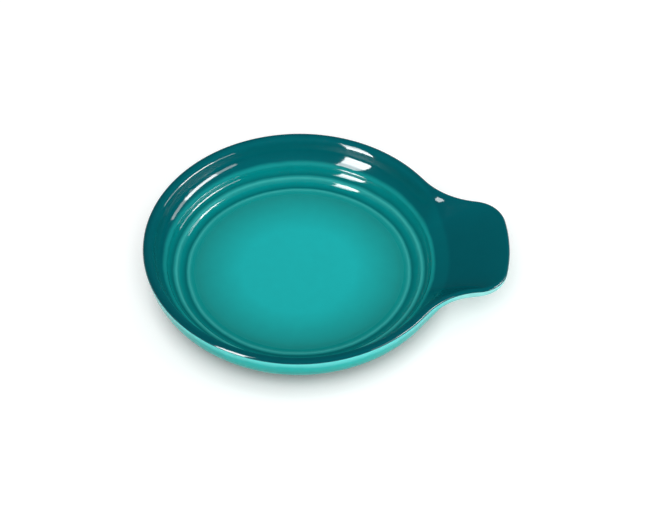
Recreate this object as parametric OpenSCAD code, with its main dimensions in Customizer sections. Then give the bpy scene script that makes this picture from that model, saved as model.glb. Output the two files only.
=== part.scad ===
// Spoon rest: a round, shallow stoneware dish with one scooped tab on its rim.
// The clay body is one moulded piece. A glaze coat lies on the inside and over the lip, a second
// coat on the outside, and a third on the base inside the foot ring, which is left bare.
// Origin: centre of the foot ring, on the table. +X points along the tab and +Z up.

/* [Dish] */
// Diameter across the rim
rim_d = 132.2; // [110:0.2:160]
// Height from the table to the top of the lip
dish_h = 24.8; // [24.3:0.1:28]
// Radius of the lip on its outer side
lip_r = 1.4; // [1.2:0.1:1.8]
// Radius of the roll from the inner wall to the top of the lip
roll_r = 3.4; // [2.8:0.1:4]
// Height of the straight edge under the lip
edge_h = 2.5; // [1.5:0.1:3.2]
// Slope of the inner wall from level
wall_slope = 78; // [75:1:79]
// Lean of the outer wall from upright
outer_lean = 12; // [10:1:15]
// Radius of the turn from the outer wall to the underside
belly_r = 14; // [11:0.5:15.5]

/* [Well] */
// Height of the flat floor above the table
floor_z = 8.5; // [7.5:0.25:9]
// Distance from the rim in to the outer ridge, at the foot of the wall
ridge_c_in = 9.1; // [8.7:0.1:9.6]
// Distance from the outer ridge in to the middle ridge
ridge_b_in = 4.7; // [4.2:0.1:5.4]
// Distance from the middle ridge in to the inner ridge, at the edge of the floor
ridge_a_in = 5.45; // [4.6:0.05:6]
// Rise of the outer ridge above the floor
ridge_c_h = 6.2; // [5.2:0.1:6.7]
// Rise of the middle ridge above the floor
ridge_b_h = 2.2; // [1.6:0.1:2.8]
// Rise of the inner ridge above the floor
ridge_a_h = 0.35; // [0.2:0.05:0.6]
// Radius on the crest of each ridge
crest_r = 0.9; // [0.7:0.1:1.1]
// Radius of the inner flute
flute_a_r = 3.6; // [3.2:0.1:4.5]
// Radius of the outer flute
flute_b_r = 4.2; // [3.6:0.1:5]
// Radius of the hollow between the outer ridge and the wall
hollow_r = 10.5; // [8:0.5:12]

/* [Tab] */
// Length of the tab beyond the rim
tab_l = 23.1; // [19:0.1:28]
// Width of the tab at its neck
tab_w = 51.8; // [46:0.2:57]
// Radius of the sweep from the rim into the side of the tab
tab_sweep_r = 31; // [27:1:36]
// Radius of the tab's corners
tab_corner_r = 13.5; // [10:0.5:15]
// Radius of the tab's tip
tab_tip_r = 80; // [65:1:100]
// Curve of the scoop: 1 is a straight ramp, more flattens it toward the tip
scoop = 1.25; // [1:0.05:1.6]
// Drop of the lip from the rim to the tip of the tab
tab_drop = 0.7; // [0:0.1:2]

/* [Foot and glaze] */
// Distance from the rim in to the foot ring
foot_in = 18.4; // [17:0.2:20]
// Height of the bare band around the foot ring
foot_h = 3.2; // [2.6:0.1:3.8]
// Width of the foot ring's flat face
foot_w = 4.5; // [3:0.5:6]
// Bevel on both edges of the foot ring
foot_bevel = 0.6; // [0.3:0.1:1]
// Depth of the hollow under the base
base_recess = 2.4; // [1.5:0.1:2.6]
// Band wiped clean of glaze inside the foot ring
wiped_w = 1.5; // [0.5:0.5:4]
// Thickness of the glaze
glaze_t = 0.5; // [0.3:0.05:0.6]

/* [Hidden] */
$fn = 180;

rim_r = rim_d / 2;
tab_reach = rim_r + tab_l;
foot_r = rim_r - foot_in;
// the inner and the outer coat meet on the outer side of the lip, at this angle above level
joint_angle = 15;
lip_c = [rim_r - lip_r, dish_h - lip_r];
roll_c = [rim_r - lip_r, dish_h - roll_r];
ridge_c = [rim_r - ridge_c_in, floor_z + ridge_c_h - crest_r];
ridge_b = [ridge_c.x - ridge_b_in, floor_z + ridge_b_h - crest_r];
ridge_a = [ridge_b.x - ridge_a_in, floor_z + ridge_a_h - crest_r];
// the floor rises to the inner ridge at this slope
floor_rise = 22;

function turn(a) = [cos(a), sin(a)];
function unit(v) = v / norm(v);
function lerp(a, b, t) = a + (b - a) * t;
function bearing(v) = atan2(v.y, v.x);
function arc(c, r, a0, a1, n) = [for (k = [0:n]) c + r * turn(lerp(a0, a1, k / n))];
function tail(list) = [for (k = [1:len(list) - 1]) list[k]];

// centre of the circle of radius r that hangs between two ridges and touches both
function hang(a, b, r) =
    let (d = norm(b - a), u = unit(b - a))
    (a + b) / 2 + [-u.y, u.x] * sqrt(pow(r + crest_r, 2) - d * d / 4);

// Section of the dish: the finished surface from the floor out over the lip and down to the foot
wall_dir = turn(wall_slope);
wall_top = roll_c + roll_r * turn(90 + wall_slope);
flute_a = hang(ridge_a, ridge_b, flute_a_r);
flute_b = hang(ridge_b, ridge_c, flute_b_r);

// the hollow's centre keeps its radius from the wall and touches the outer ridge
hollow_from = wall_top + hollow_r * turn(90 + wall_slope) - ridge_c;
hollow_along = hollow_from * wall_dir;
hollow_sq = pow(hollow_r + crest_r, 2) - hollow_from * hollow_from;
hollow = ridge_c + hollow_from - wall_dir * (hollow_along - sqrt(hollow_along * hollow_along + hollow_sq));
wall_foot = hollow - hollow_r * turn(90 + wall_slope);

// the outside runs straight down from the lip, turns under at the belly and runs straight to the foot;
// the straight wall is as long as it takes to come down to the bare band around the foot
outer_top = lip_c + lip_r * turn(-outer_lean);
edge_foot = outer_top - edge_h * turn(90 - outer_lean);
belly_end = 60;
belly_turn = belly_r * (turn(-belly_end) - turn(-outer_lean));
under_x = foot_r + glaze_t;
outer_drop = outer_top.y + belly_turn.y - foot_h - (outer_top.x + belly_turn.x - under_x) / tan(belly_end);
outer_l = outer_drop / (cos(outer_lean) - sin(outer_lean) / tan(belly_end));
outer_foot = outer_top - outer_l * turn(90 - outer_lean);
belly_c = outer_foot - belly_r * turn(-outer_lean);
belly_foot = outer_foot + belly_turn;
under_end = [under_x, foot_h];

// the middle of the dish is a plain disc, which reaches a little over the start of the section
core_r = ridge_a.x * 0.6;
core_lap = 2;
crest_n = 3;
flute_n = 4;
wall_n = 2;
roll_n = 4;
lip_n = 3;
edge_n = 2;
floor_part = concat(
    [[core_r - core_lap, floor_z], [core_r + core_lap, floor_z], [ridge_a.x - 2, floor_z]],
    arc(ridge_a, crest_r, 90 + floor_rise, bearing(flute_a - ridge_a), crest_n));
flute_part = concat(
    tail(arc(flute_a, flute_a_r, bearing(ridge_a - flute_a), bearing(ridge_b - flute_a), flute_n)),
    tail(arc(ridge_b, crest_r, bearing(flute_a - ridge_b), bearing(flute_b - ridge_b), crest_n)),
    tail(arc(flute_b, flute_b_r, bearing(ridge_b - flute_b), bearing(ridge_c - flute_b), flute_n)),
    tail(arc(ridge_c, crest_r, bearing(flute_b - ridge_c), bearing(hollow - ridge_c), crest_n)));
wall_part = concat(
    tail(arc(hollow, hollow_r, bearing(ridge_c - hollow), wall_slope - 90, flute_n)),
    [for (k = [1:wall_n]) lerp(wall_foot, wall_top, k / wall_n)]);
lip_part = concat(
    tail(arc(roll_c, roll_r, 90 + wall_slope, 90, roll_n)),
    tail(arc(lip_c, lip_r, 90, joint_angle, lip_n)),
    tail(arc(lip_c, lip_r, joint_angle, -outer_lean, edge_n)),
    [edge_foot]);
outer_part = concat([lerp(edge_foot, outer_foot, 0.5)],
    arc(belly_c, belly_r, -outer_lean, -belly_end, flute_n),
    [lerp(belly_foot, under_end, 0.5), under_end]);
section = concat(floor_part, flute_part, wall_part, lip_part, outer_part);

// places along the section: foot of the wall, top of the lip, joint of the coats, foot of the edge
k_hollow = len(floor_part) + len(flute_part) - 1;
k_top = k_hollow + len(wall_part) + roll_n;
k_joint = k_top + lip_n;
k_edge = k_joint + edge_n + 1;
k_end = len(section) - 1;

// outward direction at each place of the section
function section_normal(k) =
    k == 0 ? [0, 1] :
    let (t = unit(section[min(k + 1, k_end)] - section[k - 1]))
    [-t.y, t.x];
clay_section = [for (k = [0:k_end]) section[k] - glaze_t * section_normal(k)];

// the bare foot ring and the hollow under the base close the clay section
foot_section = [
    [foot_r, foot_bevel * 2],
    [foot_r - foot_bevel, 0],
    [foot_r - foot_bevel - foot_w, 0],
    [foot_r - 2 * foot_bevel - foot_w, foot_bevel],
    [foot_r - 2 * foot_bevel - foot_w, base_recess],
    [core_r - core_lap, base_recess]];
recess_r = foot_section[4].x;

// Outline of the tab: sweep, corner and tip are arcs that touch each other
tab_angle = asin((tab_w / 2 + tab_sweep_r) / (rim_r + tab_sweep_r));
sweep_c = (rim_r + tab_sweep_r) * turn(tab_angle);
tip_c = [tab_reach - tab_tip_r, 0];
corner_far = tab_sweep_r + tab_corner_r;
corner_near = tab_tip_r - tab_corner_r;
tip_to_sweep = sweep_c - tip_c;
corner_along = (corner_near * corner_near - corner_far * corner_far + tip_to_sweep * tip_to_sweep)
    / (2 * norm(tip_to_sweep));
corner_aside = sqrt(corner_near * corner_near - corner_along * corner_along);
corner_c = tip_c + unit(tip_to_sweep) * corner_along
    + corner_aside * [unit(tip_to_sweep).y, -unit(tip_to_sweep).x];
sweep_end = bearing(corner_c - sweep_c);
corner_end = bearing(corner_c - tip_c);

// the half of the dish that carries the tab is drawn out up to this angle on both sides
half_angle = 90;
rim_n = 9;
sweep_n = 8;
corner_n = 5;
tip_n = 3;
// each place on the upper half of the outline, from the tip to the rim: [point, outward direction]
half_outline = concat(
    [for (k = [0:tip_n]) let (d = turn(corner_end * k / tip_n)) [tip_c + tab_tip_r * d, d]],
    [for (k = [1:corner_n])
        let (d = turn(lerp(corner_end, sweep_end + 180, k / corner_n))) [corner_c + tab_corner_r * d, d]],
    [for (k = [1:sweep_n])
        let (d = turn(lerp(sweep_end, tab_angle - 180, k / sweep_n))) [sweep_c + tab_sweep_r * d, -d]],
    [for (k = [1:rim_n]) let (d = turn(lerp(tab_angle, half_angle, k / rim_n))) [rim_r * d, d]]);
half_n = len(half_outline) - 1;
outline = concat(
    [for (k = [half_n:-1:1])
        let (o = half_outline[k]) [[o[0].x, -o[0].y], [o[1].x, -o[1].y]]],
    half_outline);
side_n = len(outline) - 1;

// Surface of the tab: the section of the dish, drawn out from the foot of the wall to the outline
wall_foot_r = section[k_hollow].x;
top_r = section[k_top].x;
edge_r = section[k_edge].x;
under_r = section[k_end].x;
function inset(i, d) = outline[i][0] - outline[i][1] * d;
// how far the tab is drawn out at this place, from 0 on the rim to 1 at the tip
function drawn(i) = max(0, (norm(inset(i, rim_r - top_r)) - top_r) / tab_l);
// the steep wall eases into the scoop over this part of the draw
neck = 0.25;
function ease(e) = e * e * (3 - 2 * e);
function plate(i) = ease(min(1, drawn(i) / neck));
function drop(i) = tab_drop * pow(drawn(i), 2);
function ramp(u) = 1 - pow(1 - u, scoop);
// the underside is hollow at the neck and full at the tip
under_neck = 1.25;
under_tip = 0.9;
function under_ramp(i, u) = pow(u, lerp(under_neck, under_tip, drawn(i)));

// a place between two rings of the section, drawn out to the line from one to the other
function drawn_point(i, p, u, r0, r1, z) =
    let (t = lerp((p.x - r0) / (r1 - r0), u, plate(i)),
        q = lerp(r0 * turn(bearing(inset(i, rim_r - top_r))), inset(i, rim_r - r1), t))
    [q.x, q.y, lerp(p.y, z, plate(i))];

function skin_point(i, k) =
    let (p = section[k])
    k <= k_hollow ?
        let (q = p.x * turn(bearing(inset(i, rim_r - top_r)))) [q.x, q.y, p.y] :
    k >= k_top && k <= k_edge ?
        let (q = inset(i, rim_r - p.x)) [q.x, q.y, p.y - drop(i)] :
    k < k_top ?
        let (u = (k - k_hollow) / (k_top - k_hollow))
        drawn_point(i, p, u, wall_foot_r, top_r, lerp(section[k_hollow].y, dish_h - drop(i), ramp(u))) :
    let (u = (k_end - k) / (k_end - k_edge))
    drawn_point(i, p, u, under_r, edge_r, lerp(foot_h, section[k_edge].y - drop(i), under_ramp(i, u)));

skin = [for (i = [0:side_n]) [for (k = [0:k_end]) skin_point(i, k)]];

function skin_normal(i, k) =
    let (flat = section_normal(k), a = bearing(outline[i][0]))
    i == 0 || i == side_n || k == 0 ? [flat.x * cos(a), flat.x * sin(a), flat.y] :
    unit(cross(skin[i][min(k + 1, k_end)] - skin[i][k - 1], skin[i + 1][k] - skin[i - 1][k]));
clay_skin = [for (i = [0:side_n]) [for (k = [0:k_end]) skin[i][k] - glaze_t * skin_normal(i, k)]];

foot_skin = [for (i = [0:side_n])
    let (a = bearing(inset(i, rim_r - top_r)))
    [for (p = foot_section) [p.x * cos(a), p.x * sin(a), p.y]]];

// Fills a flat end between two chains of points, taking the nearer step each time. Steps away from the
// axis count more than steps up or down, so that each place is joined to the one under it.
function span(a, b) = 3 * abs(norm([a.x, a.y]) - norm([b.x, b.y])) + abs(a.z - b.z);
// Each face is three places: [chain, place], with chain 0 or 1.
function fill(p, q, i = 0, j = 0) =
    i == len(p) - 1 && j == len(q) - 1 ? [] :
    j == len(q) - 1 || (i < len(p) - 1 && span(p[i + 1], q[j]) <= span(q[j + 1], p[i]))
        ? concat([[[0, i], [0, i + 1], [1, j]]], fill(p, q, i + 1, j))
        : concat([[[0, i], [1, j + 1], [1, j]]], fill(p, q, i, j + 1));

// Closes the space between an upper and a lower sheet of points into a solid.
// Both sheets have one row for each place on the outline.
module loft(upper, lower) {
    nu = len(upper[0]);
    nl = len(lower[0]);
    row = nu + nl;
    function up(i, k) = i * row + k;
    function low(i, k) = i * row + nu + k;
    function strip(a, b, c, d) = [[a, c, b], [a, d, c]];
    sheets = [for (i = [0:side_n - 1]) each concat(
        [for (k = [0:nu - 2]) each strip(up(i, k), up(i, k + 1), up(i + 1, k + 1), up(i + 1, k))],
        [for (k = [0:nl - 2]) each strip(low(i + 1, k), low(i + 1, k + 1), low(i, k + 1), low(i, k))],
        strip(up(i, nu - 1), low(i, nl - 1), low(i + 1, nl - 1), up(i + 1, nu - 1)),
        strip(low(i, 0), up(i, 0), up(i + 1, 0), low(i + 1, 0)))];
    ends = [for (f = fill(upper[0], lower[0])) each [
        [for (c = f) c[0] == 0 ? up(0, c[1]) : low(0, c[1])],
        [for (m = [2, 1, 0]) f[m][0] == 0 ? up(side_n, f[m][1]) : low(side_n, f[m][1])]]];
    polyhedron([for (i = [0:side_n]) each concat(upper[i], lower[i])], concat(sheets, ends), convexity = 8);
}

// The other half of the dish is the same section turned about the axis
module dish_turn(profile) {
    rotate([0, 0, half_angle])
        rotate_extrude(angle = 360 - 2 * half_angle, convexity = 8)
            polygon(profile);
}

function slice(list, from, to) = [for (k = [from:to]) list[k]];
function back(list) = [for (k = [len(list) - 1:-1:0]) list[k]];

// the plain disc in the middle of the dish
module core(z0, z1) {
    translate([0, 0, z0])
        cylinder(h = z1 - z0, r = core_r);
}

module stoneware_body() {
    color("#cbb89a") {
        core(base_recess, floor_z - glaze_t);
        dish_turn(concat(clay_section, foot_section));
        loft([for (row = clay_skin) slice(row, 0, k_joint)],
            [for (i = [0:side_n]) back(concat(slice(clay_skin[i], k_joint + 1, k_end), foot_skin[i]))]);
    }
}

module inner_glaze() {
    color("#0d8087") {
        core(floor_z - glaze_t, floor_z);
        dish_turn(concat(slice(section, 0, k_joint), back(slice(clay_section, 0, k_joint))));
        loft([for (row = skin) slice(row, 0, k_joint)],
            [for (row = clay_skin) slice(row, 0, k_joint)]);
    }
}

module outer_glaze() {
    color("#1fb3ab") {
        dish_turn(concat(slice(section, k_joint, k_end), back(slice(clay_section, k_joint, k_end))));
        loft([for (row = skin) slice(row, k_joint, k_end)],
            [for (row = clay_skin) slice(row, k_joint, k_end)]);
    }
}

module base_glaze() {
    color("#1fb3ab")
        translate([0, 0, base_recess - glaze_t])
            cylinder(h = glaze_t, r = recess_r - wiped_w);
}

stoneware_body();
inner_glaze();
outer_glaze();
base_glaze();
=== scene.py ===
# %% [markdown]
# # A spoon rest in glazed stoneware
# A spoon rest is a shallow dish that catches the drips of a cooking spoon. This one has a round well with
# three fine ridges, a steep wall with a rolled lip, and a scooped tab on which the handle lies.
# It is one piece of fired clay under a coat of glass. The lesson rebuilds the clay and its three coats of
# glaze, because they are the pieces that look different from each other.

from math import asin, atan2, cos, degrees, pi, radians, sin, sqrt, tan

import bmesh
import bpy
import numpy as np
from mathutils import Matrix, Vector


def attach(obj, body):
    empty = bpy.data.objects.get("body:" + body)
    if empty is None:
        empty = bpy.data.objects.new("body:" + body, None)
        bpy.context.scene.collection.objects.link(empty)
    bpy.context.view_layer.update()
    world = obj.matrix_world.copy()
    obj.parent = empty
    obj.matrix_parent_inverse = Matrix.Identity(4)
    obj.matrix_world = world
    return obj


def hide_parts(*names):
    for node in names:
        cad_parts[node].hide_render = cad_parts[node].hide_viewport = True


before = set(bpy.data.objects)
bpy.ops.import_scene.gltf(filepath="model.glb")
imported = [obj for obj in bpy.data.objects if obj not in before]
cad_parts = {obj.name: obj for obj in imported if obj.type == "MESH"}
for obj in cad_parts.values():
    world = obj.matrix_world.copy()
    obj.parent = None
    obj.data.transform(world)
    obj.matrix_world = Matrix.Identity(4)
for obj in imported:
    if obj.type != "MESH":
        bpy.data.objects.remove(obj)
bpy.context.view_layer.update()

# %% [markdown]
# ## The section of the dish
# A potter's profile gauge would show the whole character of this dish: a flat floor, two flutes that hang
# between three sharp crests, a hollow that turns up into the wall, and a lip that rolls over in a wide arc
# on the inside and a tight one on the outside. Each of those is an arc that touches the next one.
# So the section is drawn with arcs, in millimetres, and first their centres are worked out.

# %% Arcs that touch
MM = 0.001
RIM_R, DISH_H, LIP_R, ROLL_R = 66.1, 24.8, 1.4, 3.4
WALL_SLOPE, OUTER_LEAN, BELLY_R, BELLY_END = 78, 12, 14, 60
FLOOR_Z, CREST_R, FLUTE_A_R, FLUTE_B_R, HOLLOW_R = 8.5, 0.9, 3.6, 4.2, 10.5
RIDGE_A_R, RIDGE_B_R, RIDGE_C_R = 46.85, 52.3, 57.0
RIDGE_A_H, RIDGE_B_H, RIDGE_C_H = 0.35, 2.2, 6.2
FOOT_R, FOOT_H, GLAZE = 47.7, 3.2, 0.5


def turn(a):
    """The unit vector at an angle in degrees."""
    return np.array([cos(radians(a)), sin(radians(a))])


def bearing(v):
    """The angle of a vector in degrees."""
    return degrees(atan2(v[1], v[0]))


def hang(a, b, r):
    """Centre of the flute of radius r that touches the crests at a and b."""
    d = np.linalg.norm(b - a)
    u = (b - a) / d
    return (a + b) / 2 + np.array([-u[1], u[0]]) * sqrt((r + CREST_R) ** 2 - d * d / 4)


ridge_a = np.array([RIDGE_A_R, FLOOR_Z + RIDGE_A_H - CREST_R])
ridge_b = np.array([RIDGE_B_R, FLOOR_Z + RIDGE_B_H - CREST_R])
ridge_c = np.array([RIDGE_C_R, FLOOR_Z + RIDGE_C_H - CREST_R])
flute_a, flute_b = hang(ridge_a, ridge_b, FLUTE_A_R), hang(ridge_b, ridge_c, FLUTE_B_R)
lip = np.array([RIM_R - LIP_R, DISH_H - LIP_R])
roll = np.array([RIM_R - LIP_R, DISH_H - ROLL_R])
wall_dir, wall_side = turn(WALL_SLOPE), turn(90 + WALL_SLOPE)
wall_top = roll + ROLL_R * wall_side
away = wall_top + HOLLOW_R * wall_side - ridge_c
along = away @ wall_dir
hollow = ridge_c + away - wall_dir * (along - sqrt(along ** 2 + (HOLLOW_R + CREST_R) ** 2 - away @ away))
wall_foot = hollow - HOLLOW_R * wall_side
print("the wall is straight for", round(float(np.linalg.norm(wall_top - wall_foot)), 1), "mm")

# %% [markdown]
# ## The outer wall
# The outside leans in a little from the lip, then a round belly turns it under to the foot. The length of the
# straight part is not chosen: it is the one with which the line under the belly meets the foot.

# %% From the lip down to the foot
outer_top = lip + LIP_R * turn(-OUTER_LEAN)
belly_turn = BELLY_R * (turn(-BELLY_END) - turn(-OUTER_LEAN))
under_x, under_tan = FOOT_R + GLAZE, tan(radians(BELLY_END))
drop = outer_top[1] + belly_turn[1] - FOOT_H - (outer_top[0] + belly_turn[0] - under_x) / under_tan
outer_l = drop / (cos(radians(OUTER_LEAN)) - sin(radians(OUTER_LEAN)) / under_tan)
outer_foot = outer_top - outer_l * turn(90 - OUTER_LEAN)
belly = outer_foot - BELLY_R * turn(-OUTER_LEAN)
belly_foot, under_end = outer_foot + belly_turn, np.array([under_x, FOOT_H])
print("the outer wall is straight for", round(float(outer_l), 1), "mm")

# %% [markdown]
# ## The section as a list of points
# Now the points are set along the arcs, from the floor out over the lip and down to the foot. Sharp crests get
# more of them for their size than the wide hollow. The two coats of glaze meet at the joint, which lies just
# above level on the outside of the lip, and below it a short straight edge keeps its form all round the tab.

# %% Points along the arcs
JOINT, EDGE_H = 15, 2.5


def arc(centre, r, a0, a1, n):
    """n points on an arc, without its first one, which the line before it already has."""
    return [centre + r * turn(a0 + (a1 - a0) * k / n) for k in range(1, n + 1)]


well = [np.array([r, FLOOR_Z]) for r in (16.0, 32.0, ridge_a[0] - 3.2, ridge_a[0] - 2.0)]
well += arc(ridge_a, CREST_R, 118, bearing(flute_a - ridge_a), 5)
well += arc(flute_a, FLUTE_A_R, bearing(ridge_a - flute_a), bearing(ridge_b - flute_a), 7)
well += arc(ridge_b, CREST_R, bearing(flute_a - ridge_b), bearing(flute_b - ridge_b), 5)
well += arc(flute_b, FLUTE_B_R, bearing(ridge_b - flute_b), bearing(ridge_c - flute_b), 7)
well += arc(ridge_c, CREST_R, bearing(flute_b - ridge_c), bearing(hollow - ridge_c), 5)
wall = arc(hollow, HOLLOW_R, bearing(ridge_c - hollow), WALL_SLOPE - 90, 10)
wall += [wall_foot + (wall_top - wall_foot) * t for t in (0.5, 1.0)]
wall += arc(roll, ROLL_R, 90 + WALL_SLOPE, 90, 8)
lip_in = arc(lip, LIP_R, 90, JOINT, 7)
lip_out = arc(lip, LIP_R, JOINT, -OUTER_LEAN, 3)
edge = outer_top - EDGE_H * turn(90 - OUTER_LEAN)
lip_out += [outer_top + (edge - outer_top) * t for t in (0.5, 1.0)]
outside = [edge + (outer_foot - edge) * t for t in (0.5, 1.0)]
outside += arc(belly, BELLY_R, -OUTER_LEAN, -BELLY_END, 7)
outside += [belly_foot + (under_end - belly_foot) * t for t in (0.34, 0.67, 1.0)]
section = np.array(well + wall + lip_in + lip_out + outside)

K_HOLLOW = len(well) - 1
K_TOP = K_HOLLOW + len(wall)
K_JOINT = K_TOP + len(lip_in)
K_EDGE = K_JOINT + len(lip_out)
K_END = len(section) - 1
print(len(section), "points in the section")

# %% [markdown]
# ## The outline of the tab
# Seen from above, the rim leaves its circle in a soft S, turns a round corner and runs across the tip of the
# tab in a wide bow. Three arcs that touch each other give that line with no kink, which matters on a glossy
# lip, because a kink would break the highlight that runs along it.
# The columns of the mesh are spaced closer on the tab than on the plain back of the dish.

# %% Three arcs for half of the tab
TAB_REACH, TAB_W, SWEEP_R, CORNER_R, TIP_R = 89.2, 51.8, 31, 13.5, 80
tab_angle = degrees(asin((TAB_W / 2 + SWEEP_R) / (RIM_R + SWEEP_R)))
sweep = (RIM_R + SWEEP_R) * turn(tab_angle)
tip = np.array([TAB_REACH - TIP_R, 0.0])
far, near, gap = SWEEP_R + CORNER_R, TIP_R - CORNER_R, sweep - tip
span = np.linalg.norm(gap)
ahead = (near ** 2 - far ** 2 + span ** 2) / (2 * span)
u = gap / span
corner = tip + u * ahead + sqrt(near ** 2 - ahead ** 2) * np.array([u[1], -u[0]])
sweep_end, corner_end = bearing(corner - sweep), bearing(corner - tip)

half = [(tip + TIP_R * turn(a), turn(a)) for a in np.linspace(0, corner_end, 7)]
half += [(corner + CORNER_R * turn(a), turn(a)) for a in np.linspace(corner_end, sweep_end + 180, 12)[1:]]
half += [(sweep + SWEEP_R * turn(a), -turn(a)) for a in np.linspace(sweep_end, tab_angle - 180, 15)[1:]]
half += [(RIM_R * turn(a), turn(a)) for a in np.linspace(tab_angle, 180, 37)[1:]]
mirror = np.array([1, -1])
outline = half + [(p * mirror, n * mirror) for p, n in half[-2:0:-1]]
print(len(outline), "columns around the rim, tab from", round(tab_angle, 1), "degrees to its tip")

# %% [markdown]
# ## One table of points for the whole surface
# Each row of the table is a ring of the dish, and each column is a place on the outline. On the plain part
# every ring is a circle. On the tab the lip and its edge follow the outline and sink a little towards the tip.
# The rings between the foot of the wall and the lip are drawn out to it, and their heights ease from the steep
# wall to a shallow scoop. The rings under the tab do the same below.

# %% A point of the finished surface
SCOOP, UNDER_NECK, UNDER_TIP, NECK, TAB_DROP = 1.25, 1.25, 0.9, 0.25, 0.7


def surface_point(place, k):
    """The point of ring k at a place of the outline, in millimetres."""
    p, n = place
    q = section[k]
    top_r, foot_r = section[K_TOP][0], section[K_HOLLOW][0]
    inner = p - n * (RIM_R - top_r)
    a = bearing(inner)
    drawn = max(0.0, (np.linalg.norm(inner) - top_r) / (TAB_REACH - RIM_R))
    ease = min(1.0, drawn / NECK)
    plate = ease * ease * (3 - 2 * ease)
    fall = TAB_DROP * drawn ** 2
    if k <= K_HOLLOW:
        return [*(q[0] * turn(a)), q[1]]
    if K_TOP <= k <= K_EDGE:
        return [*(p - n * (RIM_R - q[0])), q[1] - fall]
    if k < K_TOP:
        u = (k - K_HOLLOW) / (K_TOP - K_HOLLOW)
        r0, r1, z0, z1 = foot_r, top_r, section[K_HOLLOW][1], DISH_H - fall
        eased = z0 + (z1 - z0) * (1 - (1 - u) ** SCOOP)
    else:
        u = (K_END - k) / (K_END - K_EDGE)
        r0, r1, z0, z1 = section[K_END][0], section[K_EDGE][0], FOOT_H, section[K_EDGE][1] - fall
        eased = z0 + (z1 - z0) * u ** (UNDER_NECK + (UNDER_TIP - UNDER_NECK) * drawn)
    start, end = r0 * turn(a), p - n * (RIM_R - r1)
    t = (q[0] - r0) / (r1 - r0)
    t += (u - t) * plate
    return [*(start + (end - start) * t), q[1] + (eased - q[1]) * plate]


skin = np.array([[surface_point(place, k) for k in range(K_END + 1)] for place in outline])
print("surface from", skin.min((0, 1)).round(1), "to", skin.max((0, 1)).round(1), "mm")

# %% [markdown]
# ## The clay under the surface
# The clay lies one glaze thickness under the finished surface. So its table comes from the same points, each
# moved in along the normal, which stands square on the two directions in which the table runs.

# %% The clay's table
across = np.roll(skin, -1, 0) - np.roll(skin, 1, 0)
down = np.gradient(skin, axis=1)
normal = np.cross(down, across)
normal /= np.linalg.norm(normal, axis=2, keepdims=True)
clay = skin - GLAZE * normal
print("clay from", clay.min((0, 1)).round(1), "to", clay.max((0, 1)).round(1), "mm")

# %% [markdown]
# ## Drawing a shell ring by ring
# By hand, such a shell starts as a circle that is extruded ring by ring, each new ring being scaled and moved
# to its place. The same is done here: the circle's edges are extruded, and each point of the new ring goes to
# its place in the table. A number on each point, which extruding copies, says which column it belongs to.

# %% A helper that extrudes rings
def fill_ring(piece, k):
    """Closes ring k with one flat face."""
    bm = bmesh.from_edit_mesh(piece.data)
    row = bm.verts.layers.int["row"]
    for v in bm.verts:
        v.select = v[row] == k
    bm.select_flush_mode()
    for e in bm.edges:
        e.select = all(v.select for v in e.verts)
    bmesh.update_edit_mesh(piece.data)
    bpy.ops.mesh.edge_face_add()


def draw_rings(name, rings, fill_first=False, fill_last=False):
    """A shell through rings of points, which are in millimetres."""
    bpy.ops.object.select_all(action="DESELECT")
    bpy.ops.mesh.primitive_circle_add(vertices=len(outline), radius=0.02, location=(0, 0, 0))
    piece = bpy.context.object
    piece.name = piece.data.name = name
    bpy.ops.object.mode_set(mode="EDIT")
    bm = bmesh.from_edit_mesh(piece.data)
    column, row = bm.verts.layers.int.new("column"), bm.verts.layers.int.new("row")
    for i, v in enumerate(bm.verts):
        v[column] = i
    for k, ring in enumerate(rings):
        if k:
            bpy.ops.mesh.extrude_region_move()
        bm = bmesh.from_edit_mesh(piece.data)
        column, row = bm.verts.layers.int["column"], bm.verts.layers.int["row"]
        for v in bm.verts:
            if v.select:
                v[row] = k
                v.co = ring[v[column]] * MM
        bmesh.update_edit_mesh(piece.data)
    if fill_first:
        fill_ring(piece, 0)
    if fill_last:
        fill_ring(piece, len(rings) - 1)
    bpy.ops.mesh.select_all(action="SELECT")
    bpy.ops.mesh.normals_make_consistent(inside=False)
    bpy.ops.object.mode_set(mode="OBJECT")
    return piece


# %% [markdown]
# ## Finishing a piece
# An open sheet has no inside, so Blender may turn its faces either way: one face whose direction is known
# shows whether all have to be turned round. Then the piece is shaded smooth, rides on the part's only body
# and takes the place of its plain CAD node.

# %% Faces outwards, smooth and in its place
def flip_if(piece, inside_out):
    """Turns all faces round where the piece came out inside out."""
    if inside_out:
        bpy.ops.object.mode_set(mode="EDIT")
        bpy.ops.mesh.select_all(action="SELECT")
        bpy.ops.mesh.flip_normals()
        bpy.ops.object.mode_set(mode="OBJECT")


def finish_piece(piece, node, smooth=40):
    """Shades the piece, drops its working numbers and hands it to the frame."""
    bpy.ops.object.shade_smooth_by_angle(angle=radians(smooth))
    for layer in ("column", "row"):
        if layer in piece.data.attributes:
            piece.data.attributes.remove(piece.data.attributes[layer])
    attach(piece, "root")
    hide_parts(node)
    print(piece.name, "has", sum(len(p.vertices) - 2 for p in piece.data.polygons), "triangles")


# %% [markdown]
# ## The inner coat
# The inner coat is the dark teal glass that runs from the floor to the outer side of the lip. It is first a
# sheet, smoothed by one level of Subdivision Surface, and then Solidify gives it its half millimetre,
# inwards, so that the sheet itself stays the visible surface.

# %% Sheet to coat
def thicken(piece):
    """Smooths a sheet and gives it the thickness of the glaze."""
    bpy.ops.object.modifier_add(type="SUBSURF")
    piece.modifiers[-1].levels = piece.modifiers[-1].render_levels = 1
    bpy.ops.object.modifier_apply(modifier=piece.modifiers[-1].name)
    bpy.ops.object.modifier_add(type="SOLIDIFY")
    piece.modifiers[-1].thickness = GLAZE * MM
    piece.modifiers[-1].offset = -1
    bpy.ops.object.modifier_apply(modifier=piece.modifiers[-1].name)


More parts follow.
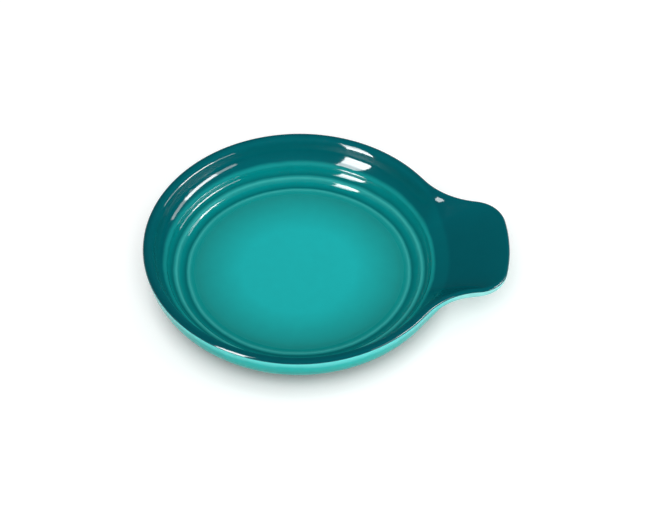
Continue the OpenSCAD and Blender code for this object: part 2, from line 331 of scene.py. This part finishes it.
inner_coat = draw_rings("inner_coat", [skin[:, k] for k in range(K_JOINT + 1)], fill_first=True)
floor_face = max(inner_coat.data.polygons, key=lambda f: len(f.vertices))
flip_if(inner_coat, floor_face.normal.z < 0)
thicken(inner_coat)
finish_piece(inner_coat, "inner_glaze")

# %% [markdown]
# ## The outer coat
# The paler coat goes on from the joint, down the outside and under the tab, and ends above the foot ring.
# It is made in the same way, and its lowest face has to look down.

# %% The outer coat
outer_coat = draw_rings("outer_coat", [skin[:, k] for k in range(K_JOINT, K_END + 1)])
lowest_face = min(outer_coat.data.polygons, key=lambda f: f.center.z)
flip_if(outer_coat, lowest_face.normal.z > 0)
thicken(outer_coat)
finish_piece(outer_coat, "outer_glaze")

# %% [markdown]
# ## The clay body and its foot
# Under the glaze is a buff stoneware body. It shows only underneath, where the foot ring was wiped clean so
# that the dish would not stick to the kiln shelf. The clay's rings go on from the outside down over the foot
# ring and into the shallow hollow under the base, which is closed by one flat face.

# %% The body
FOOT_W, FOOT_BEVEL, RECESS = 4.5, 0.6, 2.4
sole_out = FOOT_R - FOOT_BEVEL
inside = FOOT_R - 2 * FOOT_BEVEL - FOOT_W
foot = [(FOOT_R, 2 * FOOT_BEVEL), (FOOT_R - 0.2, 0.5), (sole_out, 0), (sole_out - FOOT_W, 0),
        (inside + 0.18, 0.18), (inside, FOOT_BEVEL), (inside, RECESS), (20.0, RECESS)]
angles = [bearing(p - n * (RIM_R - section[K_TOP][0])) for p, n in outline]
foot_rings = [np.array([[*(r * turn(a)), z] for a in angles]) for r, z in foot]
clay_rings = [clay[:, k] for k in range(K_END + 1)] + foot_rings
body = draw_rings("clay_body", clay_rings, fill_first=True, fill_last=True)
finish_piece(body, "stoneware_body", smooth=30)

# %% [markdown]
# ## The coat under the base
# The hollow under the base was glazed as well, up to a wiped band next to the foot ring. A disc is enough for
# it: a circle with two insets, extruded by the coat's thickness.

# %% The base coat
WIPED = 1.5
bpy.ops.object.select_all(action="DESELECT")
bpy.ops.mesh.primitive_circle_add(vertices=96, radius=(inside - WIPED) * MM, fill_type="NGON",
                                  location=(0, 0, (RECESS - GLAZE) * MM))
base_coat = bpy.context.object
base_coat.name = base_coat.data.name = "base_coat"
bpy.ops.object.mode_set(mode="EDIT")
bpy.ops.mesh.inset(thickness=0.0006)
bpy.ops.mesh.inset(thickness=0.012)
bpy.ops.mesh.select_all(action="SELECT")
bpy.ops.mesh.extrude_region_move(TRANSFORM_OT_translate={"value": (0, 0, GLAZE * MM)})
bpy.ops.mesh.select_all(action="SELECT")
bpy.ops.mesh.normals_make_consistent(inside=False)
bpy.ops.object.mode_set(mode="OBJECT")
bpy.ops.object.transform_apply(location=True, rotation=True, scale=True)
finish_piece(base_coat, "base_glaze")

# %% [markdown]
# ## Working with material nodes
# Every finish is a small tree of nodes. One helper adds a node, sets it and links it, and one function turns
# a colour as it is written for screens into the linear values that Blender works with.

# %% Colours and nodes
def colour(hex_code):
    """The linear colour of a hex code as written for screens."""
    parts = [int(hex_code[i:i + 2], 16) / 255 for i in (1, 3, 5)]
    return [p / 12.92 if p <= 0.04045 else ((p + 0.055) / 1.055) ** 2.4 for p in parts] + [1]


def add(tree, kind, inputs=(), **settings):
    """Adds a node, and links or sets each of its inputs."""
    node = tree.nodes.new(kind)
    for name, value in settings.items():
        setattr(node, name, value)
    for socket, value in dict(inputs).items():
        if isinstance(value, bpy.types.NodeSocket):
            tree.links.new(value, node.inputs[socket])
        else:
            node.inputs[socket].default_value = value
    return node


def new_material(name):
    """An empty material and its node tree."""
    material = bpy.data.materials.new(name)
    material.use_nodes = True
    material.node_tree.nodes.clear()
    return material, material.node_tree


def paint(ramp, stops):
    """Fills a colour ramp from pairs of place and colour."""
    elements = ramp.color_ramp.elements
    while len(elements) < len(stops):
        elements.new(0.5)
    for element, (place, code) in zip(elements, stops):
        element.position = place
        element.color = colour(code)


def wear(piece, material):
    """Gives a piece its only material."""
    piece.data.materials.clear()
    piece.data.materials.append(material)
    print(piece.name, "wears", material.name, "of", len(material.node_tree.nodes), "nodes")


# %% [markdown]
# ## The colours of the teal glaze
# A glossy coloured glass runs thin over sharp crests and pools in the hollows beside them. Where it is thin
# the pale clay shines through, so each crest is a light line, and where it is deep it turns a dark teal.
# So a few colours are enough, each named for how the glass lies there. The dish is round, so the distance
# from its axis says where on the section a point lies, and a list over that distance paints floor, crests,
# flutes and wall. The third crest is steep on both sides, and less clay shines through it.

# %% Thin glass and deep glass
FLOOR, FLOOR_EDGE = "#05adad", "#048b88"
SHEER, SHOULDER, HALF_SHEER = "#39a8a4", "#219492", "#138c8b"
FLUTE, DEEP, WALL, TAB = "#008484", "#006668", "#005e65", "#00545c"
REACH = 70.0

teal_stops = [(0.0, FLOOR), (24.0, FLOOR), (43.0, FLOOR_EDGE), (RIDGE_A_R - 1.25, FLOOR_EDGE)]
teal_stops += [(RIDGE_A_R - 0.45, SHOULDER), (RIDGE_A_R + 0.05, SHEER), (RIDGE_A_R + 0.65, SHOULDER)]
teal_stops += [(RIDGE_A_R + 1.35, DEEP), (RIDGE_B_R - 1.7, FLUTE)]
teal_stops += [(RIDGE_B_R - 0.8, SHOULDER), (RIDGE_B_R - 0.1, SHEER), (RIDGE_B_R + 0.5, SHOULDER)]
teal_stops += [(RIDGE_B_R + 1.5, DEEP), (RIDGE_C_R - 1.2, FLUTE)]
teal_stops += [(RIDGE_C_R - 0.4, HALF_SHEER), (RIDGE_C_R + 0.1, HALF_SHEER)]
teal_stops += [(RIDGE_C_R + 1.2, WALL), (63.0, WALL), (64.5, TAB), (REACH, TAB)]
print(len(teal_stops), "stops from the axis to the rim")

# %% [markdown]
# ## The teal glaze inside
# Slow noise moves the lines a little, as in a kiln, and finer noise clouds the colour. The colour is also
# painted darker at the front left and lighter at the back right, a painted shade for how the light falls
# across the well. The skin has the faint waves of fired glass. They are drawn wider than they are, so that
# they show at all. The floor is set less glossy than the rest, so that the wall does not mirror the lamps a second
# time from it.

# %% Glazed stoneware, teal
CLOUD_MM, MOTTLE_MM, WAVE_MM = 14, 5, 2.5
teal, tree = new_material("glazed_stoneware_teal")
place = add(tree, "ShaderNodeTexCoord").outputs["Object"]
flat = add(tree, "ShaderNodeVectorMath", {0: place, 1: (1, 1, 0)}, operation="MULTIPLY").outputs[0]
radius = add(tree, "ShaderNodeVectorMath", {0: flat}, operation="LENGTH").outputs["Value"]
drift = add(tree, "ShaderNodeTexNoise", {"Vector": place, "Scale": 1000 / CLOUD_MM, "Detail": 3.0}).outputs["Fac"]
shift = add(tree, "ShaderNodeMath", {0: drift, 1: 0.0008, 2: -0.0004}, operation="MULTIPLY_ADD").outputs[0]
moved = add(tree, "ShaderNodeMath", {0: radius, 1: shift}, operation="ADD").outputs[0]
share = add(tree, "ShaderNodeMapRange", {"Value": moved, "From Min": 0.0, "From Max": REACH * MM}).outputs[0]
bands = add(tree, "ShaderNodeValToRGB", {"Fac": share})
paint(bands, [(r / REACH, code) for r, code in teal_stops])
mottle = add(tree, "ShaderNodeTexNoise", {"Vector": place, "Scale": 1000 / MOTTLE_MM, "Detail": 4.0}).outputs["Fac"]
cloud = add(tree, "ShaderNodeMapRange", {"Value": mottle, "From Min": 0.3, "From Max": 0.7,
            "To Min": 0.98, "To Max": 1.02}).outputs[0]
# Painted shade: the colour darkens towards the front left and lightens towards the back right.
toward_back_right = add(tree, "ShaderNodeVectorMath", {0: place, 1: (0.5, 0.85, 0)}, operation="DOT_PRODUCT").outputs["Value"]
painted_shade_front_left = add(tree, "ShaderNodeMapRange", {"Value": toward_back_right, "From Min": -0.055, "From Max": 0.055,
            "To Min": 0.9, "To Max": 1.08}).outputs[0]
mottle_and_painted_shade = add(tree, "ShaderNodeMath", {0: cloud, 1: painted_shade_front_left}, operation="MULTIPLY").outputs[0]
glass = add(tree, "ShaderNodeVectorMath", {0: bands.outputs["Color"], "Scale": mottle_and_painted_shade}, operation="SCALE").outputs[0]
waves = add(tree, "ShaderNodeTexNoise", {"Vector": place, "Scale": 1000 / WAVE_MM, "Detail": 2.0}).outputs["Fac"]
skin_bump = add(tree, "ShaderNodeBump", {"Height": waves, "Strength": 0.015, "Distance": 0.0003}).outputs[0]
gloss = add(tree, "ShaderNodeMapRange", {"Value": radius, "From Min": 0.042, "From Max": 0.047,
            "To Min": 0.5, "To Max": 0.06}).outputs[0]
shader = add(tree, "ShaderNodeBsdfPrincipled", {"Base Color": glass, "Roughness": gloss, "IOR": 1.52,
             "Specular IOR Level": 0.35, "Normal": skin_bump})
add(tree, "ShaderNodeOutputMaterial", {"Surface": shader.outputs[0]})
wear(inner_coat, teal)

# %% [markdown]
# ## The turquoise glaze outside
# The outside carries a paler coat of the same glass. Its colour is set by height: it is painted lighter towards
# the lip, a painted highlight for the light on the rounded lip, and darker low on the belly, a painted shade
# where the wall turns under. On the edge of the tab, which is the part far from the axis and high up, a nearly
# white painted highlight stands for the light along that edge.

# %% Glazed stoneware, turquoise
LIP_HIGHLIGHT, OUTSIDE_CLOUD_MM = "#6ae6e2", 12
# The lowest stops are painted shade under the belly, and the top stops are painted highlight on the lip. The middle
# is the coat's own paler colour.
turquoise_stops = [(0.0, "#067069"), (0.35, "#088c85"), (0.62, "#06a79e"), (0.82, "#1cc0b9"),
                   (0.9, "#5ee0dc"), (1.0, LIP_HIGHLIGHT)]
turquoise, tree = new_material("glazed_stoneware_turquoise")
place = add(tree, "ShaderNodeTexCoord").outputs["Object"]
height = add(tree, "ShaderNodeSeparateXYZ", {0: place}).outputs["Z"]
drift = add(tree, "ShaderNodeTexNoise", {"Vector": place, "Scale": 1000 / OUTSIDE_CLOUD_MM,
            "Detail": 3.0}).outputs["Fac"]
shift = add(tree, "ShaderNodeMath", {0: drift, 1: 0.002, 2: -0.001}, operation="MULTIPLY_ADD").outputs[0]
moved = add(tree, "ShaderNodeMath", {0: height, 1: shift}, operation="ADD").outputs[0]
share = add(tree, "ShaderNodeMapRange", {"Value": moved, "From Min": 0.0, "From Max": DISH_H * MM}).outputs[0]
bands = add(tree, "ShaderNodeValToRGB", {"Fac": share})
paint(bands, turquoise_stops)
mottle = add(tree, "ShaderNodeTexNoise", {"Vector": place, "Scale": 1000 / MOTTLE_MM, "Detail": 4.0}).outputs["Fac"]
cloud = add(tree, "ShaderNodeMapRange", {"Value": mottle, "From Min": 0.3, "From Max": 0.7,
            "To Min": 0.96, "To Max": 1.04}).outputs[0]
flat = add(tree, "ShaderNodeVectorMath", {0: place, 1: (1, 1, 0)}, operation="MULTIPLY").outputs[0]
radius = add(tree, "ShaderNodeVectorMath", {0: flat}, operation="LENGTH").outputs["Value"]
# Painted highlight: the high edge of the tab, far from the axis, is mixed towards nearly white.
far_out = add(tree, "ShaderNodeMapRange", {"Value": radius, "From Min": 0.067, "From Max": 0.074}).outputs[0]
high_up = add(tree, "ShaderNodeMapRange", {"Value": height, "From Min": 0.0185, "From Max": 0.0205}).outputs[0]
tab_edge_highlight = add(tree, "ShaderNodeMath", {0: far_out, 1: high_up}, operation="MULTIPLY").outputs[0]
tint = add(tree, "ShaderNodeMix", {0: tab_edge_highlight, 6: bands.outputs["Color"], 7: colour("#9aeeea")},
           data_type="RGBA").outputs[2]
glass = add(tree, "ShaderNodeVectorMath", {0: tint, "Scale": cloud}, operation="SCALE").outputs[0]
waves = add(tree, "ShaderNodeTexNoise", {"Vector": place, "Scale": 1000 / WAVE_MM, "Detail": 2.0}).outputs["Fac"]
skin_bump = add(tree, "ShaderNodeBump", {"Height": waves, "Strength": 0.015, "Distance": 0.0003}).outputs[0]
gloss = add(tree, "ShaderNodeMapRange", {"Value": mottle, "To Min": 0.07, "To Max": 0.12}).outputs[0]
shader = add(tree, "ShaderNodeBsdfPrincipled", {"Base Color": glass, "Roughness": gloss, "IOR": 1.52,
             "Specular IOR Level": 0.06, "Normal": skin_bump})
add(tree, "ShaderNodeOutputMaterial", {"Surface": shader.outputs[0]})
wear(outer_coat, turquoise)
wear(base_coat, turquoise)

# %% [markdown]
# ## The bare clay
# Fired stoneware without glaze is matt and buff, with fine grit that can be felt with a nail and a few dark
# specks of iron that bloomed in the kiln.

# %% Bare stoneware
CLAY_CLOUD_MM, SPECK_MM, GRIT_MM = 9, 2.2, 0.6
buff, tree = new_material("bare_stoneware")
place = add(tree, "ShaderNodeTexCoord").outputs["Object"]
cloud = add(tree, "ShaderNodeTexNoise", {"Vector": place, "Scale": 1000 / CLAY_CLOUD_MM,
            "Detail": 5.0}).outputs["Fac"]
ground = add(tree, "ShaderNodeValToRGB", {"Fac": cloud})
paint(ground, [(0.3, "#bfa987"), (0.7, "#d6c5a8")])
specks = add(tree, "ShaderNodeTexVoronoi", {"Vector": place, "Scale": 1000 / SPECK_MM}).outputs["Distance"]
dot = add(tree, "ShaderNodeMapRange", {"Value": specks, "From Min": 0.08, "From Max": 0.2,
          "To Min": 1.0, "To Max": 0.0}).outputs[0]
clay_tint = add(tree, "ShaderNodeMix", {0: dot, 6: ground.outputs["Color"], 7: colour("#7a5a3c")},
                data_type="RGBA").outputs[2]
grit = add(tree, "ShaderNodeTexNoise", {"Vector": place, "Scale": 1000 / GRIT_MM, "Detail": 3.0}).outputs["Fac"]
grit_bump = add(tree, "ShaderNodeBump", {"Height": grit, "Strength": 0.3, "Distance": 0.0002}).outputs[0]
shader = add(tree, "ShaderNodeBsdfPrincipled", {"Base Color": clay_tint, "Roughness": 0.85, "Normal": grit_bump})
add(tree, "ShaderNodeOutputMaterial", {"Surface": shader.outputs[0]})
wear(body, buff)

# %% [markdown]
# ## A white table that keeps the shadow
# The dish stands on a white table. For the camera, and for what the glass reflects, the table glows a little
# on top of the light it gets, so that it is white all over. The glow fades out towards the dish and is gone under
# the rim, which deepens the real shadow there with a painted contact shadow.

# %% The table
GLOW_FROM, GLOW = 0.052, 0.34
bpy.ops.object.select_all(action="DESELECT")
bpy.ops.mesh.primitive_plane_add(size=3.0, location=(0, 0, 0))
table = bpy.context.object
table.name = "table"
white, tree = new_material("white_table")
rays = add(tree, "ShaderNodeLightPath").outputs
seen = add(tree, "ShaderNodeMath", {0: rays["Is Camera Ray"], 1: rays["Is Glossy Ray"]}, operation="ADD").outputs[0]
seen = add(tree, "ShaderNodeMath", {0: seen, 1: rays["Is Transmission Ray"]}, operation="ADD").outputs[0]
place = add(tree, "ShaderNodeTexCoord").outputs["Object"]
radius = add(tree, "ShaderNodeVectorMath", {0: place}, operation="LENGTH").outputs["Value"]
# Painted shadow: the glow is zero under the dish and rises to full strength at the rim, which darkens the table
# next to the foot.
glow_past_painted_shadow = add(tree, "ShaderNodeMapRange", {"Value": radius, "From Min": GLOW_FROM, "From Max": RIM_R * MM,
                  "To Min": 0.0, "To Max": GLOW}).outputs[0]
lift = add(tree, "ShaderNodeMath", {0: seen, 1: glow_past_painted_shadow}, operation="MULTIPLY").outputs[0]
glow = add(tree, "ShaderNodeEmission", {"Strength": lift}).outputs[0]
matt = add(tree, "ShaderNodeBsdfDiffuse", {"Color": colour("#e9e9e9")}).outputs[0]
both = add(tree, "ShaderNodeAddShader", {0: matt, 1: glow}).outputs[0]
add(tree, "ShaderNodeOutputMaterial", {"Surface": both})
wear(table, white)

# %% [markdown]
# ## Lights for the clay and lights for the glass
# A softbox over the camera, a sheet overhead and a fill from the right give the even light, and the glass does
# not mirror them. What it mirrors are a tall window at the front left, with a dimmer upper pane, and a low
# strip at the right that fades at both ends. These make only the highlights, so moving them changes no colour.

# %% The lights
def soft_light(name, place, aim, width, height, radiance, lights=True, mirrored=True):
    """A flat lamp that is as bright as its radiance, whatever its size."""
    bpy.ops.object.light_add(type="AREA", location=place)
    lamp = bpy.context.object
    lamp.name = name
    lamp.data.shape, lamp.data.size, lamp.data.size_y = "RECTANGLE", width, height
    lamp.data.energy = radiance * pi * width * height
    lamp.rotation_euler = (lamp.location - Vector(aim)).to_track_quat("Z", "Y").to_euler()
    lamp.visible_diffuse, lamp.visible_glossy, lamp.visible_camera = lights, mirrored, False
    print(name, "gives", round(lamp.data.energy, 1), "W")


def mirrored_pane(name, azimuth, distance, z, width, height, radiance):
    """An upright lamp for highlights only, at an azimuth from the front, to the right."""
    place = distance * sin(radians(azimuth)), -distance * cos(radians(azimuth)), z
    soft_light(name, place, (0, 0, z), width, height, radiance, lights=False)


soft_light("key", (-0.1, -0.98, 1.18), (0, 0, 0), width=1.2, height=1.0, radiance=5.0, mirrored=False)
soft_light("overhead", (0, 0.35, 1.4), (0, 0.15, 0), width=1.9, height=1.9, radiance=0.9, mirrored=False)
fill_place = 1.2 * sin(radians(86)), -1.2 * cos(radians(86)), 0.5
soft_light("side_fill", fill_place, (0, 0, 0.5), width=1.4, height=0.95, radiance=1.9, mirrored=False)
mirrored_pane("window", -42.5, 1.3, 0.5, width=0.44, height=0.98, radiance=32)
mirrored_pane("upper_pane", -42.5, 1.3, 1.34, width=0.44, height=0.7, radiance=17)
mirrored_pane("side_strip", 77, 1.03, 0.29, width=0.55, height=0.22, radiance=20)
mirrored_pane("side_glow", 77, 1.06, 0.29, width=1.3, height=0.24, radiance=7)

# %% [markdown]
# ## The room
# A faint, even white from all sides stands for the room and keeps the darkest glass from going black.

# %% The world
world = bpy.data.worlds.new("studio")
bpy.context.scene.world = world
world.use_nodes = True
room = world.node_tree.nodes["Background"].inputs
room["Color"].default_value = (1, 1, 1, 1)
room["Strength"].default_value = 0.04
print("the room gives", round(room["Strength"].default_value, 2))

# %% [markdown]
# ## The camera
# A long lens from the front, a little under fifty degrees above the table, keeps the rim nearly an ellipse.
# The focal length is worked out in pixels of the picture and turned into millimetres of the sensor.

# %% The camera
VIEW_UP, FOCAL_PX, PICTURE_W, SENSOR = 47.65, 4000, 650, 36
bpy.ops.object.camera_add(location=(0.01102, -1.1416, 1.2713), rotation=(radians(90 - VIEW_UP), 0, 0))
camera = bpy.context.object
camera.data.sensor_width = SENSOR
camera.data.lens = FOCAL_PX * SENSOR / PICTURE_W
bpy.context.scene.camera = camera
bpy.context.scene.view_settings.view_transform = "Standard"
print("lens of", round(camera.data.lens, 1), "mm")
